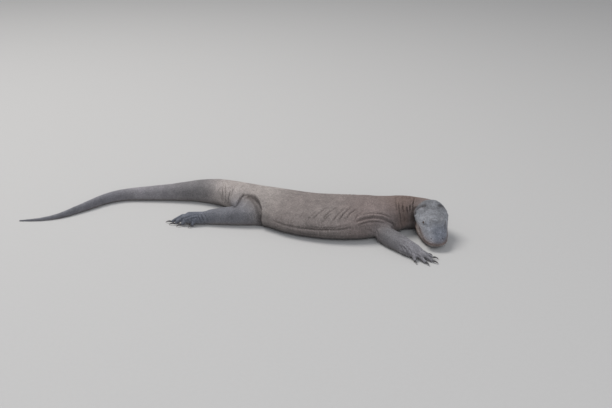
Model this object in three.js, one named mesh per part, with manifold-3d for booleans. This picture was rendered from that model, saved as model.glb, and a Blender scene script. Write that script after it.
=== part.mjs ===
// Komodo dragon (Varanus komodoensis): a still, life-size adult at rest on its belly.
// The body runs along X with the tail at -X, the neck bends sharply to the right, and the throat is on the floor.
//
// Millimetres, +Z up, floor at z = 0. The origin is on the flat of the belly, under the middle of the trunk.
// Every piece of flesh is a sweep: a row of outlines along a smooth line. A limb is cut back from the trunk,
// and each lower piece from the one above it, so that neighbours meet face to face across GAP.

import * as THREE from "three";
import { mergeVertices } from "three/addons/utils/BufferGeometryUtils.js";
import Module from "manifold-3d";

const wasm = await Module();
wasm.setup();

// ---- Driving dimensions ------------------------------------------------------------------------------------

const GAP = 0.3; // between neighbouring pieces
const NECK_END_GAP = 2; // inside the head, where the end of the neck is not quite flat

const HEAD_LENGTH = 218; // back of the skull to the tip of the snout
const SNOUT_TIP = [550, -315, 32];
const HEAD_TURN = -88; // degrees: the way the snout points, seen from above
const HEAD_PITCH = 25.5; // degrees: how far the snout points down

const BEND_CENTRE = [459, -140]; // the neck turns about this upright line
const BEND_RADIUS = 85;
const BEND_ANGLES = [86, 58, 30, 4, -20]; // degrees round BEND_CENTRE, from the shoulders towards the skull

const EYE_RADIUS = 10.5;
const EYE_BACK = 116; // behind the tip of the snout
const EYE_SIDE = 42;
const EYE_UP = 20;

// Swellings of the head, as places and reaches in its own frame: the brow from the eye, the jaw's muscle.
const BROW = { ahead: 2, inwards: 7, up: 13, reach: [26, 10, 8] };
const JAW_MUSCLE = { ahead: 0.2 * HEAD_LENGTH, out: 42, up: -6, reach: [50, 32, 40] };

const CLAW_BASE = { wide: 3.9, top: 5.4, low: 4.6 };

// ---- Shapes ------------------------------------------------------------------------------------------------

const radians = THREE.MathUtils.degToRad;

// The centre of one outline, and how far the outline reaches sideways, up and down from it. full is how square
// its lower half is: 2 is an ellipse, and more is fuller at the corners.
const station = (x, y, z, wide, top, low = top, full = 2.3) => ({ x, y, z, wide, top, low, full });

// A smooth curve through three fields of the stations.
function through(stations, fields, kind) {
  const points = stations.map((s) => new THREE.Vector3(...fields.map((field) => s[field])));
  return new THREE.CatmullRomCurve3(points, false, kind);
}

// A sweep over the stations. shares are where its outlines are, from 0 at the first station to 1 at the last.
// trim moves the first and last outline inwards, which leaves a gap to the piece that goes on from there.
// roof is how much of its width the upper half loses towards the top.
function sweep(stations, shares, options = {}) {
  const { sides = 12, grow = 0, upper = 2, roof = 0, floor = 0, trim = [0, 0] } = options;
  const line = through(stations, ["x", "y", "z"], "centripetal");
  const sizes = through(stations, ["wide", "top", "low"], "catmullrom");
  const fullness = through(stations, ["full", "full", "full"], "catmullrom");
  const rings = shares.map((t, i) => {
    const size = sizes.getPoint(t);
    const ahead = line.getTangent(t);
    const left = new THREE.Vector3(0, 0, 1).cross(ahead).normalize();
    const up = ahead.clone().cross(left);
    const shift = i === 0 ? trim[0] : i === shares.length - 1 ? -trim[1] : 0;
    const centre = line.getPoint(t).addScaledVector(ahead, shift);
    return Array.from({ length: sides }, (_, side) => {
      const angle = (2 * Math.PI * side) / sides;
      const [c, s] = [Math.cos(angle), Math.sin(angle)];
      const power = 2 / (s >= 0 ? upper : fullness.getPoint(t).x);
      const narrowed = 1 - roof * Math.max(s, 0) ** power;
      const across = (size.x + grow) * Math.sign(c) * Math.abs(c) ** power * narrowed;
      const height = ((s >= 0 ? size.y : size.z) + grow) * Math.sign(s) * Math.abs(s) ** power;
      const point = centre.clone().addScaledVector(left, across).addScaledVector(up, height);
      point.z = Math.max(point.z, floor);
      return point;
    });
  });
  return closedSkin(rings);
}

// A closed skin over a row of outlines, with a fan over each end.
function closedSkin(rings) {
  const sides = rings[0].length;
  const middle = (ring) => ring.reduce((sum, p) => sum.add(p), new THREE.Vector3()).divideScalar(sides);
  const points = [...rings.flat(), middle(rings[0]), middle(rings.at(-1))];
  const [firstCap, lastCap] = [points.length - 2, points.length - 1];
  const lastRing = (rings.length - 1) * sides;
  const faces = [];
  for (let i = 0; i < sides; i++) {
    const next = (i + 1) % sides;
    for (let r = 0; r < rings.length - 1; r++) {
      const [a, b] = [r * sides + i, r * sides + next];
      faces.push(a, b, b + sides, a, b + sides, a + sides);
    }
    faces.push(firstCap, next, i, lastCap, lastRing + i, lastRing + next);
  }
  return new THREE.BufferGeometry().setFromPoints(points).setIndex(faces);
}

const evenly = (count, from = 0, to = 1) =>
  Array.from({ length: count }, (_, i) => from + ((to - from) * i) / (count - 1));

function ellipsoid(centre, reach) {
  const geometry = new THREE.SphereGeometry(1, 10, 7);
  geometry.scale(...reach);
  geometry.translate(...centre);
  return geometry;
}

function solidOf(geometry) {
  const bare = geometry.clone();
  bare.deleteAttribute("normal");
  bare.deleteAttribute("uv");
  const merged = mergeVertices(bare, 1e-3);
  return new wasm.Manifold(
    new wasm.Mesh({
      numProp: 3,
      vertProperties: merged.attributes.position.array,
      triVerts: new Uint32Array(merged.index.array),
    }),
  );
}

function geometryOf(solid) {
  const mesh = solid.getMesh();
  const geometry = new THREE.BufferGeometry();
  geometry.setAttribute("position", new THREE.BufferAttribute(mesh.vertProperties, 3));
  geometry.setIndex(new THREE.BufferAttribute(mesh.triVerts, 1));
  return geometry;
}

const joined = (solids) => solids.reduce((sum, solid) => sum.add(solid));
const bodiesBySize = (solid) => solid.decompose().sort((a, b) => b.volume() - a.volume());

// What is left of a solid outside the tools, without the slivers that a cut can leave beside it.
const cutBack = (solid, tools) => bodiesBySize(tools.reduce((left, tool) => left.subtract(tool), solid))[0];

// ---- Colours -----------------------------------------------------------------------------------------------

const finish = (color, roughness) => new THREE.MeshStandardMaterial({ color, roughness, metalness: 0 });
const DUSTY_HIDE = finish(0x8f8781, 0.9);
const GREY_HIDE = finish(0x77757a, 0.88);
const HEAD_HIDE = finish(0x7f807f, 0.85);
const HORN = finish(0x2b2825, 0.45);
const EYE = finish(0x1c120c, 0.1);

const dragon = new THREE.Group();

function add(group, name, geometry, material) {
  const mesh = new THREE.Mesh(geometry, material);
  mesh.name = name;
  group.add(mesh);
}

// ---- The head's own frame: X forwards from the back of the skull, Y to its left, Z up ------------------------

const headForward = new THREE.Vector3(
  Math.cos(radians(HEAD_TURN)) * Math.cos(radians(HEAD_PITCH)),
  Math.sin(radians(HEAD_TURN)) * Math.cos(radians(HEAD_PITCH)),
  -Math.sin(radians(HEAD_PITCH)),
);
const headLeft = new THREE.Vector3(0, 0, 1).cross(headForward).normalize();
const headUp = headForward.clone().cross(headLeft);
const skullBack = new THREE.Vector3(...SNOUT_TIP).addScaledVector(headForward, -HEAD_LENGTH);
const headPlace = new THREE.Matrix4().makeBasis(headForward, headLeft, headUp).setPosition(skullBack);
const inHead = (geometry) => solidOf(geometry.applyMatrix4(headPlace));

// ---- Body: tail, trunk and neck in one line ----------------------------------------------------------------

const onBend = (degrees) => [
  BEND_CENTRE[0] + BEND_RADIUS * Math.cos(radians(degrees)),
  BEND_CENTRE[1] + BEND_RADIUS * Math.sin(radians(degrees)),
];

// From the tip of the tail to the back of the skull. An outline that would reach below the floor is flat there.
// The last station is inside the head, and only leads the neck into it.
const BODY = [
  station(-1410, 28, 3, 2.5, 3, 4),
  station(-1310, 34, 7, 6, 8, 8),
  station(-1228, 66, 11, 10, 14, 12),
  station(-1160, 126, 16, 14.5, 22, 18),
  station(-1098, 192, 20, 18, 28, 22),
  station(-1040, 256, 23, 21, 31, 25),
  station(-960, 300, 27, 25, 34, 29.5),
  station(-840, 309, 34, 31, 37, 37),
  station(-700, 308, 43, 39, 44, 46),
  station(-580, 299, 52, 50, 57, 55),
  station(-470, 264, 60, 61, 66, 64),
  station(-385, 212, 63, 74, 71, 67, 2.5),
  station(-300, 148, 60, 99, 80, 65, 2.9),
  station(-190, 76, 55, 140, 87, 60, 3.2),
  station(-70, 8, 52, 172, 89, 57, 3.4),
  station(55, -38, 52, 180, 94, 57, 3.4),
  station(170, -64, 56, 172, 98, 61, 3.4),
  station(270, -72, 63, 148, 96, 68, 3.1),
  station(345, -66, 74, 114, 86, 79, 2.6),
  station(415, -54, 88, 80, 73, 86),
  station(...onBend(BEND_ANGLES[0]), 94, 66, 66, 94),
  station(...onBend(BEND_ANGLES[1]), 103, 62, 52, 103),
  station(...onBend(BEND_ANGLES[2]), 111, 61, 48, 110),
  station(...onBend(BEND_ANGLES[3]), 112, 61, 46, 107),
  station(...onBend(BEND_ANGLES[4]), 104, 60, 44, 90),
];

// Stations where one piece ends and the next begins, from the tail to the skull.
const BODY_PIECES = [
  { name: "tail_tip", from: 0, to: 3, each: 2 },
  { name: "tail_end", from: 3, to: 6, each: 2 },
  { name: "tail_middle", from: 6, to: 8, each: 2 },
  { name: "tail_front", from: 8, to: 10, each: 2 },
  { name: "tail_base", from: 10, to: 12, each: 2 },
  { name: "pelvis", from: 12, to: 13.5, each: 2 },
  { name: "belly", from: 13.5, to: 16, each: 2 },
  { name: "chest", from: 16, to: 18.5, each: 2 },
  { name: "neck", from: 18.5, to: 23, each: 2 },
];
const BODY_SHAPE = { sides: 18, upper: 2.05 };

const bodyShares = (from, to, each) =>
  evenly((to - from) * each + 1, from, to).map((place) => place / (BODY.length - 1));

function buildBody() {
  const group = new THREE.Group();
  for (const { name, from, to, each } of BODY_PIECES) {
    const trim = [from > 0 ? GAP / 2 : 0, GAP / 2];
    add(group, name, sweep(BODY, bodyShares(from, to, each), { ...BODY_SHAPE, trim }), DUSTY_HIDE);
  }
  return group;
}
dragon.add(buildBody());

// What the head and the limbs are cut back from: the same body, larger by the gap.
const [HIND_END, FRONT_END] = [BODY_PIECES[4].from, BODY_PIECES.at(-1).to];
const grownBody = solidOf(
  sweep(BODY, bodyShares(HIND_END, FRONT_END, 2), { ...BODY_SHAPE, grow: GAP, floor: -1, trim: [0, -NECK_END_GAP] }),
);

// ---- Head --------------------------------------------------------------------------------------------------

// Outlines of the head, at shares of its length. The first is inside the neck, which cuts it back.
const skullStation = (share, wide, top, low, full, z = 0) =>
  station(share * HEAD_LENGTH, 0, z, wide, top, low, full);
const SKULL = [
  skullStation(-0.14, 50, 32, 50, 2.3, -15),
  skullStation(0, 69, 48, 64, 2.4, -3),
  skullStation(0.12, 75, 46, 60, 2.6),
  skullStation(0.27, 74, 45, 52, 2.8),
  skullStation(0.42, 67, 43, 45, 3),
  skullStation(0.54, 62, 41, 39, 3),
  skullStation(0.67, 59, 35, 34, 3),
  skullStation(0.8, 55, 30, 31, 2.8),
  skullStation(0.91, 47, 25, 31, 2.6),
  skullStation(0.975, 32, 17, 23, 2.3),
  skullStation(1, 13, 7, 10, 2.2),
];

// The loose skin of the throat, which lies on the floor under the jaw.
const THROAT = [
  station(525, -46, 64, 34, 30, 56),
  station(541, -88, 61, 60, 40, 72),
  station(543, -130, 54, 69, 40, 64),
  station(545, -190, 44, 68, 36, 54),
  station(547, -238, 33, 55, 28, 42),
  station(548, -272, 24, 30, 18, 30),
];

// The gape, seen from the side: shares of the head's length, and heights. It runs from the snout to the corner
// of the mouth, and then down behind the jaw.
const GAPE = [
  [1.1, 2],
  [0.94, 1],
  [0.8, -5],
  [0.6, -10],
  [0.42, -13],
  [0.3, -19],
  [0.06, -180],
];

// A sheet as thick as the gap that parts the lower jaw from the skull.
function gapeSheet() {
  const line = GAPE.map(([share, height]) => new THREE.Vector2(share * HEAD_LENGTH, height));
  const under = line.map((p) => new THREE.Vector2(p.x + GAP / 2, p.y - GAP)).reverse();
  const reach = 100;
  const sheet = new THREE.ExtrudeGeometry(new THREE.Shape([...line, ...under]), {
    depth: 2 * reach,
    bevelEnabled: false,
  });
  return inHead(sheet.rotateX(Math.PI / 2).translate(0, reach, 0));
}

function buildHead() {
  const group = new THREE.Group();
  const pieces = [
    inHead(sweep(SKULL, evenly(14), { sides: 18, upper: 2.6, roof: 0.34, floor: -Infinity })),
    solidOf(sweep(THROAT, evenly(7), { sides: 14 })),
  ];
  const sockets = [];
  for (const [side, eyeName] of [[1, "eye_left"], [-1, "eye_right"]]) {
    const eyeX = HEAD_LENGTH - EYE_BACK;
    const eyeCentre = [eyeX, side * EYE_SIDE, EYE_UP];
    const browCentre = [eyeX + BROW.ahead, side * (EYE_SIDE - BROW.inwards), EYE_UP + BROW.up];
    pieces.push(inHead(ellipsoid(browCentre, BROW.reach)));
    pieces.push(inHead(ellipsoid([JAW_MUSCLE.ahead, side * JAW_MUSCLE.out, JAW_MUSCLE.up], JAW_MUSCLE.reach)));
    sockets.push(inHead(ellipsoid(eyeCentre, Array(3).fill(EYE_RADIUS + GAP))));
    add(group, eyeName, geometryOf(inHead(ellipsoid(eyeCentre, Array(3).fill(EYE_RADIUS)))), EYE);
  }
  const underFloor = new THREE.BoxGeometry(400, 400, 100).translate(SNOUT_TIP[0], SNOUT_TIP[1], -50);
  const flesh = cutBack(joined(pieces), [...sockets, solidOf(underFloor), grownBody]);
  const [skull, jaw] = bodiesBySize(flesh.subtract(gapeSheet()));
  add(group, "head", geometryOf(skull), HEAD_HIDE);
  add(group, "lower_jaw", geometryOf(jaw), HEAD_HIDE);
  return group;
}
dragon.add(buildHead());

// ---- Limbs -------------------------------------------------------------------------------------------------

// A toe that starts on the palm, and its claw. Angles are in degrees from the foot's heading, towards the
// foot's inner side, and root is where the toe starts, as a share of the palm's length. The toe comes down
// from the foot's arch, which is how much higher the knuckles are than those of a flat foot.
function buildToe(foot, { turn, root, length, claw }) {
  const [x, y] = foot.ankle;
  const rootTurn = radians(foot.heading + foot.inner * turn * foot.fan);
  const heading = radians(foot.heading + foot.inner * turn);
  const from = [x + root * foot.palm * Math.cos(rootTurn), y + root * foot.palm * Math.sin(rootTurn)];
  const along = (distance) => [from[0] + distance * Math.cos(heading), from[1] + distance * Math.sin(heading)];
  const toe = [
    station(...along(-14), 14 + 0.9 * foot.arch, 9.5, 10, 15),
    station(...along(0.3 * length), 13.5 + 0.9 * foot.arch, 9.5, 10.5, 15),
    station(...along(0.68 * length), 10 + 0.45 * foot.arch, 8, 8.4, 12),
    station(...along(length), 8.4, 6.4, 6.8, 9),
  ];
  const nail = [
    station(...along(length - 4), 8.4, CLAW_BASE.wide, CLAW_BASE.top, CLAW_BASE.low),
    station(...along(length + 0.4 * claw), 10.5, 3.1, 4.2, 3.6),
    station(...along(length + 0.75 * claw), 8.2, 2.1, 2.8, 2.4),
    station(...along(length + claw), 2.2, 0.7, 0.9, 0.9),
  ];
  const shares = evenly(4);
  return {
    toe: solidOf(sweep(toe, shares, { sides: 8 })),
    grownToe: solidOf(sweep(toe, shares, { sides: 8, grow: GAP, floor: -1, trim: [0, -GAP] })),
    nail: solidOf(sweep(nail, shares, { sides: 6 })),
  };
}

// A foot with its toes in one piece, and each claw as its own. Toes are numbered from the inner side.
function buildFoot(group, name, foot, tools) {
  const [x, y, z] = foot.ankle;
  const heading = radians(foot.heading);
  const along = (distance) => [x + distance * Math.cos(heading), y + distance * Math.sin(heading)];
  const { wide, top } = foot.wrist;
  const { arch } = foot;
  const palm = [
    station(...along(-24), z, wide, top, z + 2),
    station(...along(0.35 * foot.palm), 0.9 * z, 1.1 * wide, 0.95 * top, z),
    station(...along(0.85 * foot.palm), 14 + arch, 1.02 * wide, 14 + 0.25 * arch, 16 + arch),
    station(...along(1.2 * foot.palm), 10 + 0.85 * arch, 0.8 * wide, 9 + 0.2 * arch, 12 + 0.85 * arch),
  ];
  const toes = foot.toes.map((sizes) => buildToe(foot, sizes));
  const pieces = [solidOf(sweep(palm, evenly(5), { sides: 10, upper: 2.2 })), ...toes.map(({ toe }) => toe)];
  add(group, name, geometryOf(cutBack(joined(pieces), tools)), GREY_HIDE);
  const grownToes = toes.map(({ grownToe }) => grownToe);
  toes.forEach(({ nail }, i) => {
    add(group, `${name}_claw_${i + 1}`, geometryOf(cutBack(nail, grownToes)), HORN);
  });
}

// Upper piece, lower piece and foot. Each is cut back from the trunk and from the piece above it.
function buildLimb({ names, upper, lower, foot }) {
  const group = new THREE.Group();
  const shape = { sides: 12, upper: 2.1 };
  const solid = (stations, more) => solidOf(sweep(stations, evenly(6), { ...shape, ...more }));
  const grown = (stations) => solid(stations, { grow: GAP, floor: -1, trim: [-GAP, -GAP] });
  add(group, names[0], geometryOf(cutBack(solid(upper), [grownBody])), DUSTY_HIDE);
  add(group, names[1], geometryOf(cutBack(solid(lower), [grownBody, grown(upper)])), GREY_HIDE);
  buildFoot(group, names[2], foot, [grown(lower), grownBody]);
  dragon.add(group);
}

// Toes from the inner one to the outer.
const HAND_TOES = [
  { turn: 34, root: 0.7, length: 44, claw: 24 },
  { turn: 18, root: 0.9, length: 60, claw: 28 },
  { turn: 0, root: 1, length: 71, claw: 29 },
  { turn: -18, root: 1, length: 58, claw: 28 },
  { turn: -40, root: 0.78, length: 40, claw: 23 },
];
const FOOT_TOES = [
  { turn: 36, root: 0.5, length: 38, claw: 22 },
  { turn: 15, root: 0.85, length: 48, claw: 26 },
  { turn: 2, root: 1, length: 64, claw: 29 },
  { turn: -9, root: 1.04, length: 78, claw: 30 },
  { turn: -36, root: 0.62, length: 70, claw: 28 },
];

buildLimb({
  names: ["upper_arm_right", "forearm_right", "hand_right"],
  upper: [
    station(352, -104, 80, 38, 40),
    station(338, -152, 66, 40, 38, 50),
    station(323, -196, 48, 39, 36, 50),
    station(314, -224, 41, 27, 27, 38),
    station(311, -238, 39, 10, 10, 12),
  ],
  lower: [
    station(302, -186, 44, 14, 14),
    station(313, -204, 43, 35, 35, 44),
    station(342, -244, 42, 42, 40, 46),
    station(379, -293, 38, 40, 39, 42),
    station(410, -334, 34, 37, 38, 38),
    station(426, -354, 31, 28, 29, 31),
  ],
  foot: {
    ankle: [418, -344, 32],
    heading: -40,
    inner: 1,
    palm: 60,
    arch: 13,
    fan: 0.75,
    wrist: { wide: 35, top: 37 },
    toes: HAND_TOES,
  },
});

buildLimb({
  names: ["upper_arm_left", "forearm_left", "hand_left"],
  upper: [
    station(352, -24, 80, 38, 40),
    station(346, 28, 66, 40, 38, 50),
    station(336, 74, 48, 38, 36, 50),
    station(330, 100, 41, 26, 26, 38),
    station(327, 113, 39, 10, 10, 12),
  ],
  lower: [
    station(316, 66, 44, 14, 14),
    station(328, 84, 43, 34, 34, 44),
    station(364, 118, 41, 40, 37, 44),
    station(412, 155, 37, 38, 37, 40),
    station(455, 184, 33, 35, 35, 36),
    station(474, 196, 30, 27, 27, 29),
  ],
  foot: {
    ankle: [461, 188, 31],
    heading: 14,
    inner: -1,
    palm: 60,
    arch: 11,
    fan: 0.75,
    wrist: { wide: 34, top: 34 },
    toes: HAND_TOES,
  },
});

buildLimb({
  names: ["thigh_right", "shin_right", "foot_right"],
  upper: [
    station(-342, 142, 74, 66, 32),
    station(-328, 84, 66, 66, 38, 66),
    station(-306, 32, 58, 58, 50, 60),
    station(-286, -6, 50, 46, 46, 52),
    station(-277, -30, 45, 16, 16, 22),
  ],
  lower: [
    station(-220, -4, 46, 18, 20, 32),
    station(-242, -6, 49, 40, 46, 54),
    station(-322, -5, 48, 47, 48, 52),
    station(-415, -4, 42, 41, 42, 45),
    station(-482, -2, 36, 34, 37, 39),
    station(-520, -2, 31, 26, 28, 32),
  ],
  foot: {
    ankle: [-508, 4, 30],
    heading: 187,
    inner: 1,
    palm: 84,
    arch: 28,
    fan: 0.7,
    wrist: { wide: 32, top: 33 },
    toes: FOOT_TOES,
  },
});

buildLimb({
  names: ["thigh_left", "shin_left", "foot_left"],
  upper: [
    station(-290, 180, 74, 58, 40),
    station(-250, 222, 62, 56, 40, 58),
    station(-212, 246, 48, 50, 38, 50),
    station(-188, 262, 42, 38, 32, 44),
    station(-176, 270, 40, 13, 12, 18),
  ],
  lower: [
    station(-172, 236, 42, 20, 20, 28),
    station(-194, 252, 43, 40, 38, 48),
    station(-240, 290, 41, 44, 38, 45),
    station(-300, 338, 36, 38, 34, 40),
    station(-352, 378, 32, 32, 30, 35),
    station(-382, 398, 29, 24, 24, 28),
  ],
  foot: {
    ankle: [-368, 388, 30],
    heading: 143,
    inner: -1,
    palm: 84,
    arch: 26,
    fan: 0.7,
    wrist: { wide: 31, top: 31 },
    toes: FOOT_TOES,
  },
});

export default dragon;
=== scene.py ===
"""The looks of a komodo dragon that lies on its belly: one skin with its folds, a coat of scales over it,
wet eyes, horn claws, a plain pale floor, soft light and a camera. Everything is in metres."""

import itertools
import math
from types import SimpleNamespace

import bmesh
import bpy
import numpy as np
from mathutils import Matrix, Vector, noise
from mathutils.bvhtree import BVHTree


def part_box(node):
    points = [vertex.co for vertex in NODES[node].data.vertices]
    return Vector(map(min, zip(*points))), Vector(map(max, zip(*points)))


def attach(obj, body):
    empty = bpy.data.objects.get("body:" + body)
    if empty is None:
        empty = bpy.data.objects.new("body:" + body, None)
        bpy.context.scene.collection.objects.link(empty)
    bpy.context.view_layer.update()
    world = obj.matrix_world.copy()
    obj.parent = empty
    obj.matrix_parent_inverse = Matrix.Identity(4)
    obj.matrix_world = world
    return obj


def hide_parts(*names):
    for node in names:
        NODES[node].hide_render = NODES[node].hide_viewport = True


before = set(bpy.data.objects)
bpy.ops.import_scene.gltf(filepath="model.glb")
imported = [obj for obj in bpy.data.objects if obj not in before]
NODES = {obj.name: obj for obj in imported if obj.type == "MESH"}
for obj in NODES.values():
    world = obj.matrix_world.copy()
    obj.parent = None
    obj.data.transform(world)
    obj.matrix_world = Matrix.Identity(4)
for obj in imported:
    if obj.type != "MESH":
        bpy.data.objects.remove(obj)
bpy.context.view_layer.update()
EYES = ("eye_left", "eye_right")
FLESH = [name for name in NODES if "claw" not in name and name not in EYES]
MM = 0.001

# The photograph's view: pixels are those of its 612 x 408 frame.
PHOTO_WIDE = 612
PHOTO_HIGH = 408
CAMERA_PLACE = Vector((-0.030, -3.737, 1.611))
CAMERA_TARGET = Vector((-0.030, 0.250, 0.0))
LENS = 50.0
SENSOR = 36.0

# Middle line of tail and trunk as far as the neck's bend, the bend in the ground plane, and the line's step.
SPINE = [
    (-1.410, 0.028, 0.003), (-1.310, 0.034, 0.007), (-1.228, 0.066, 0.011), (-1.160, 0.126, 0.016),
    (-1.098, 0.192, 0.020), (-1.040, 0.256, 0.023), (-0.960, 0.300, 0.027), (-0.840, 0.309, 0.034),
    (-0.700, 0.308, 0.043), (-0.580, 0.299, 0.052), (-0.470, 0.264, 0.060), (-0.385, 0.212, 0.063),
    (-0.300, 0.148, 0.060), (-0.190, 0.076, 0.055), (-0.070, 0.008, 0.052), (0.055, -0.038, 0.052),
    (0.170, -0.064, 0.056), (0.270, -0.072, 0.063), (0.345, -0.066, 0.074), (0.415, -0.054, 0.088),
]
BEND_CENTRE = (0.459, -0.140)
BEND_RADIUS = 0.085
BEND_ANGLES = [86, 58, 30, 4, -20]
BEND_HEIGHTS = [0.094, 0.103, 0.111, 0.112, 0.104]
SPINE_STEP = 5 * MM

# The head's own frame: forward to the snout's tip, left, and up out of the skull.
SNOUT_TIP = Vector((0.550, -0.315, 0.032))
HEAD_LENGTH = 0.218
HEAD_TURN = math.radians(-88)
HEAD_PITCH = math.radians(25.5)


# ---------------------------------------------------------------- camera

def add_camera():
    """A camera at the photograph's place; its own frame is the photograph's."""
    data = bpy.data.cameras.new("camera")
    data.lens = LENS
    data.sensor_width = SENSOR
    data.sensor_fit = "HORIZONTAL"
    camera = bpy.data.objects.new("camera", data)
    camera.location = CAMERA_PLACE
    camera.rotation_euler = (CAMERA_TARGET - CAMERA_PLACE).to_track_quat("-Z", "Y").to_euler()
    bpy.context.scene.collection.objects.link(camera)
    bpy.context.scene.camera = camera


def photo_ray(x, y):
    """The direction in which the camera sees a pixel of the photograph."""
    forward = (CAMERA_TARGET - CAMERA_PLACE).normalized()
    right = forward.cross(Vector((0, 0, 1))).normalized()
    up = right.cross(forward)
    focal = LENS / SENSOR * PHOTO_WIDE
    across = (x - PHOTO_WIDE / 2) / focal
    upward = (PHOTO_HIGH / 2 - y) / focal
    return (forward + across * right + upward * up).normalized()


# ---------------------------------------------------------------- meshes as arrays

def rows(members, name, width, kind):
    """One value of every member of a mesh's collection, as rows of so many numbers."""
    found = np.empty(len(members) * width, kind)
    members.foreach_get(name, found)
    return found.reshape(-1, width)


def coordinates(mesh):
    return rows(mesh.vertices, "co", 3, np.float32).astype(np.float64)


def set_coordinates(mesh, points):
    mesh.vertices.foreach_set("co", points.astype(np.float32).ravel())
    mesh.update()


def vertex_normals(mesh):
    return rows(mesh.vertex_normals, "vector", 3, np.float32).astype(np.float64)


def triangles_of(mesh):
    mesh.calc_loop_triangles()
    return rows(mesh.loop_triangles, "vertices", 3, np.int32)


def unit(vectors):
    return vectors / np.maximum(np.linalg.norm(vectors, axis=-1, keepdims=True), 1e-9)


def centre(name):
    """The middle of a node's box."""
    low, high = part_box(name)
    return np.array((low + high) / 2)


def joined_solids(swollen):
    """Flesh and eyes as points and triangles, with the number in FLESH that each triangle belongs to: the
    head's for the eyes. Swollen, the tail's tip is thick enough for the voxels."""
    points, triangles, owners = [], [], []
    start = 0
    for name in (*FLESH, *EYES):
        number = FLESH.index("head" if name in EYES else name)
        mesh = NODES[name].data
        swelling = THIN_SWELLING * vertex_normals(mesh) if swollen and name == "tail_tip" else 0
        points.append(coordinates(mesh) + swelling)
        triangles.append(triangles_of(mesh) + start)
        owners.append(np.full(len(mesh.loop_triangles), number))
        start += len(mesh.vertices)
    return np.concatenate(points), np.concatenate(triangles), np.concatenate(owners)


def tree_of(points, triangles):
    return BVHTree.FromPolygons(points.tolist(), triangles.tolist())


def smoothstep(value, low, high):
    """From 0 at low to 1 at high, level at both ends."""
    share = np.clip((value - low) / (high - low), 0, 1)
    return share * share * (3 - 2 * share)


def bells(values, shapes, start=0):
    """The sum of bell curves over the values, each given by its height, middle and width."""
    curves = (height * np.exp(-((values - middle) / width) ** 2) for height, middle, width in shapes)
    return sum(curves, start)


# Taubin smoothing: a step towards the neighbours' mean, then a slightly longer one back.
SMOOTHING_STEPS = (0.55, -0.57)
LAST_ROUNDS = 4


class Neighbours:
    """Means over the edges of a mesh, for smoothing points and fields."""

    def __init__(self, mesh):
        self.ends = rows(mesh.edges, "vertices", 2, np.int32)
        self.count = len(mesh.vertices)
        self.each = np.maximum(np.bincount(self.ends.ravel(), minlength=self.count), 1)

    def mean(self, values):
        """The mean of each point's neighbours."""
        columns = values.reshape(self.count, -1)
        first, second = self.ends.T
        sums = [
            np.bincount(first, column[second], self.count) + np.bincount(second, column[first], self.count)
            for column in columns.T
        ]
        return (np.stack(sums, 1) / self.each[:, None]).reshape(values.shape)

    def diffused(self, values, rounds):
        """The values, spread over the mesh in so many rounds."""
        for _ in range(rounds):
            values = 0.5 * values + 0.5 * self.mean(values)
        return values

    def smoothed(self, points, rounds):
        """Points smoothed without loss of bulk, each in its own number of rounds, the last ones weaker."""
        for done in range(int(rounds.max())):
            share = np.clip((rounds - done) / LAST_ROUNDS, 0, 1)[:, None]
            for step in SMOOTHING_STEPS:
                points = points + step * share * (self.mean(points) - points)
        return points


# ---------------------------------------------------------------- body frames

def through(points, step):
    """A smooth curve through the points, as places about a step apart."""
    points = np.array(points, float)
    ends = np.vstack([2 * points[0] - points[1], points, 2 * points[-1] - points[-2]])
    curve = []
    for before, start, end, after in zip(ends, ends[1:], ends[2:], ends[3:]):
        count = max(2, round(np.linalg.norm(end - start) / step))
        share = np.arange(count)[:, None] / count
        curve.append(0.5 * (
            2 * start
            + (end - before) * share
            + (2 * before - 5 * start + 4 * end - after) * share ** 2
            + (3 * start - before - 3 * end + after) * share ** 3
        ))
    return np.vstack([*curve, points[-1:]])


def spine_curve():
    """The middle line from the tail's tip to the back of the skull."""
    bend = []
    for angle, height in zip(BEND_ANGLES, BEND_HEIGHTS):
        turn = math.radians(angle)
        across = BEND_CENTRE[0] + BEND_RADIUS * math.cos(turn)
        forward = BEND_CENTRE[1] + BEND_RADIUS * math.sin(turn)
        bend.append((across, forward, height))
    return through(SPINE + bend, SPINE_STEP)


HEAD_FORWARD = Vector((
    math.cos(HEAD_TURN) * math.cos(HEAD_PITCH),
    math.sin(HEAD_TURN) * math.cos(HEAD_PITCH),
    -math.sin(HEAD_PITCH),
))
HEAD_LEFT = Vector((-math.sin(HEAD_TURN), math.cos(HEAD_TURN), 0))
HEAD_UP = HEAD_FORWARD.cross(HEAD_LEFT)
SKULL_BACK = SNOUT_TIP - HEAD_LENGTH * HEAD_FORWARD
HEAD_AXES = np.array([HEAD_FORWARD, HEAD_LEFT, HEAD_UP])


def in_head(points):
    """Points as forward, left and up in the head's frame."""
    return (points - np.array(SKULL_BACK)) @ HEAD_AXES.T


def from_head(points):
    """Points of the head's frame in the part's frame."""
    return np.array(points) @ HEAD_AXES + np.array(SKULL_BACK)


def head_line(start, end, count):
    """So many places along the head's axis, from one share of its length to another."""
    return from_head([(share * HEAD_LENGTH, 0, 0) for share in np.linspace(start, end, count)])


def path_distance(points, path):
    """For each point the distance to the path, and how far along it the nearest place is, from 0 to 1."""
    path = np.array(path, float)
    lengths = np.linalg.norm(np.diff(path, axis=0), axis=1)
    starts = np.concatenate([[0], np.cumsum(lengths)])
    nearest = np.full(len(points), np.inf)
    along = np.zeros(len(points))
    for index, (start, end) in enumerate(zip(path, path[1:])):
        reach = end - start
        share = np.clip((points - start) @ reach / (reach @ reach), 0, 1)
        distance = np.linalg.norm(points - start - share[:, None] * reach, axis=1)
        closer = distance < nearest
        nearest[closer] = distance[closer]
        along[closer] = (starts[index] + share[closer] * lengths[index]) / starts[-1]
    return nearest, along


# ---------------------------------------------------------------- skin

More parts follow.
